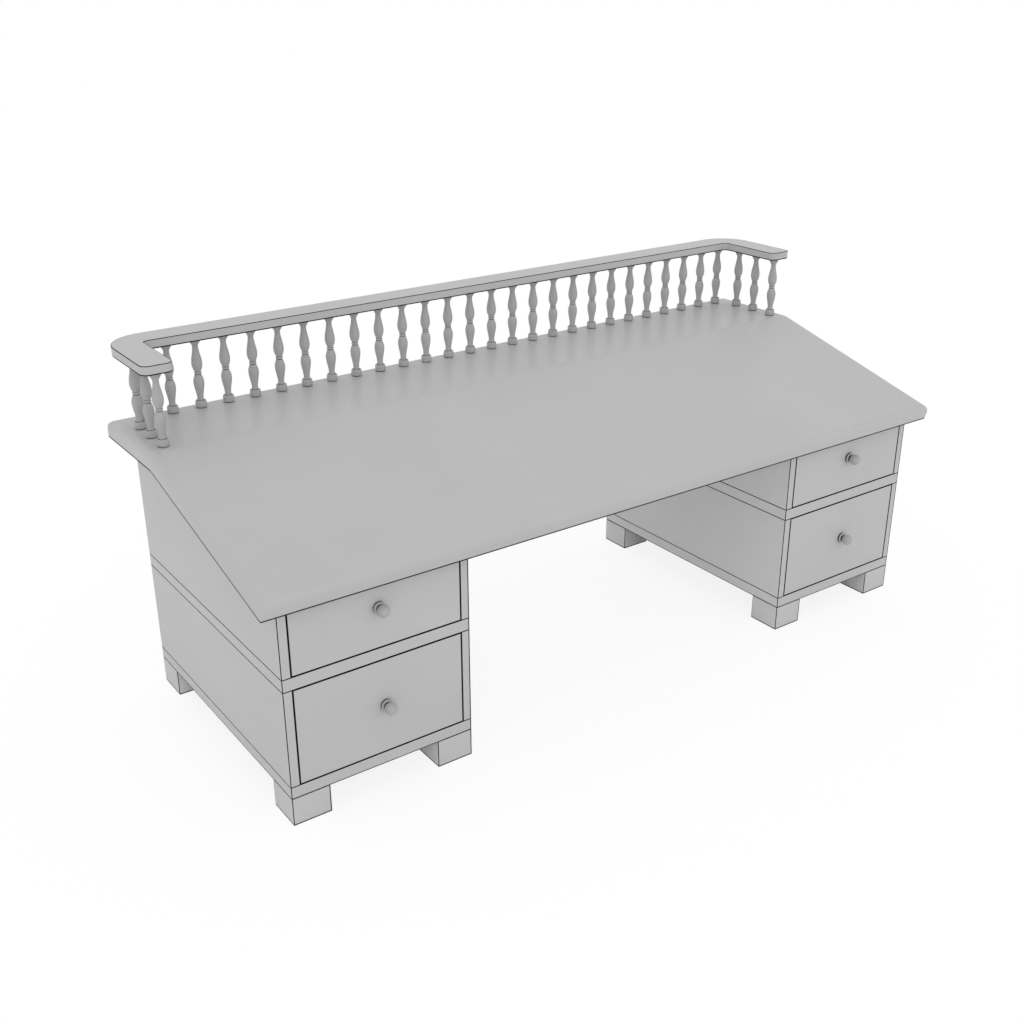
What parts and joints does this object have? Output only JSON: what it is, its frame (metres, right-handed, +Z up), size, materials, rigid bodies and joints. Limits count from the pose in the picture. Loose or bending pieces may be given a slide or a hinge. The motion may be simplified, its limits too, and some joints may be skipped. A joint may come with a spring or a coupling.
{
  "type": "lap desk",
  "caption": "Small kneehole lap desk: drawer pedestals on block feet carry a sloping writing top whose flat rear shelf is fenced by a low gallery rail on turned spindles.",
  "frame": {"origin": "on the floor, under the middle of the desk's bounding box", "axes": "+X to the right of the person sitting at the desk, +Y away from that person towards the gallery, +Z up"},
  "size_m": [0.8366, 0.34, 0.3741],
  "materials": {
    "painted_wood": "light grey satin paint on wood",
    "bare_wood": "planed pale wood, unfinished, out of sight"
  },
  "bodies": {
    "desk": {"desk_top": "painted_wood", "gallery_rail": "painted_wood", "back_left_spindles": "painted_wood", "back_middle_spindles": "painted_wood", "back_right_spindles": "painted_wood", "left_spindles": "painted_wood", "right_spindles": "painted_wood", "left_base_board": "painted_wood", "left_middle_board": "painted_wood", "left_lower_inner_side": "painted_wood", "left_lower_outer_side": "painted_wood", "left_upper_inner_side": "painted_wood", "left_upper_outer_side": "painted_wood", "left_lower_back": "painted_wood", "left_upper_back": "painted_wood", "left_inner_cleat": "bare_wood", "left_outer_cleat": "bare_wood", "left_front_inner_foot": "painted_wood", "left_front_outer_foot": "painted_wood", "left_rear_inner_foot": "painted_wood", "left_rear_outer_foot": "painted_wood", "right_base_board": "painted_wood", "right_middle_board": "painted_wood", "right_lower_inner_side": "painted_wood", "right_lower_outer_side": "painted_wood", "right_upper_inner_side": "painted_wood", "right_upper_outer_side": "painted_wood", "right_lower_back": "painted_wood", "right_upper_back": "painted_wood", "right_inner_cleat": "bare_wood", "right_outer_cleat": "bare_wood", "right_front_inner_foot": "painted_wood", "right_front_outer_foot": "painted_wood", "right_rear_inner_foot": "painted_wood", "right_rear_outer_foot": "painted_wood"},
    "upper_left_drawer": {"upper_left_drawer_front": "painted_wood", "upper_left_drawer_left_side": "bare_wood", "upper_left_drawer_right_side": "bare_wood", "upper_left_drawer_back": "bare_wood", "upper_left_drawer_bottom": "bare_wood", "upper_left_drawer_knob": "painted_wood"},
    "lower_left_drawer": {"lower_left_drawer_front": "painted_wood", "lower_left_drawer_left_side": "bare_wood", "lower_left_drawer_right_side": "bare_wood", "lower_left_drawer_back": "bare_wood", "lower_left_drawer_bottom": "bare_wood", "lower_left_drawer_knob": "painted_wood"},
    "upper_right_drawer": {"upper_right_drawer_front": "painted_wood", "upper_right_drawer_left_side": "bare_wood", "upper_right_drawer_right_side": "bare_wood", "upper_right_drawer_back": "bare_wood", "upper_right_drawer_bottom": "bare_wood", "upper_right_drawer_knob": "painted_wood"},
    "lower_right_drawer": {"lower_right_drawer_front": "painted_wood", "lower_right_drawer_left_side": "bare_wood", "lower_right_drawer_right_side": "bare_wood", "lower_right_drawer_back": "bare_wood", "lower_right_drawer_bottom": "bare_wood", "lower_right_drawer_knob": "painted_wood"}
  },
  "joints": [
    {"name": "upper_left_drawer_slide", "type": "slide", "parent": "desk", "child": "upper_left_drawer", "axis": [0, -1, 0], "range_m": [0, 0.2]},
    {"name": "lower_left_drawer_slide", "type": "slide", "parent": "desk", "child": "lower_left_drawer", "axis": [0, -1, 0], "range_m": [0, 0.2]},
    {"name": "upper_right_drawer_slide", "type": "slide", "parent": "desk", "child": "upper_right_drawer", "axis": [0, -1, 0], "range_m": [0, 0.2]},
    {"name": "lower_right_drawer_slide", "type": "slide", "parent": "desk", "child": "lower_right_drawer", "axis": [0, -1, 0], "range_m": [0, 0.2]}
  ]
}
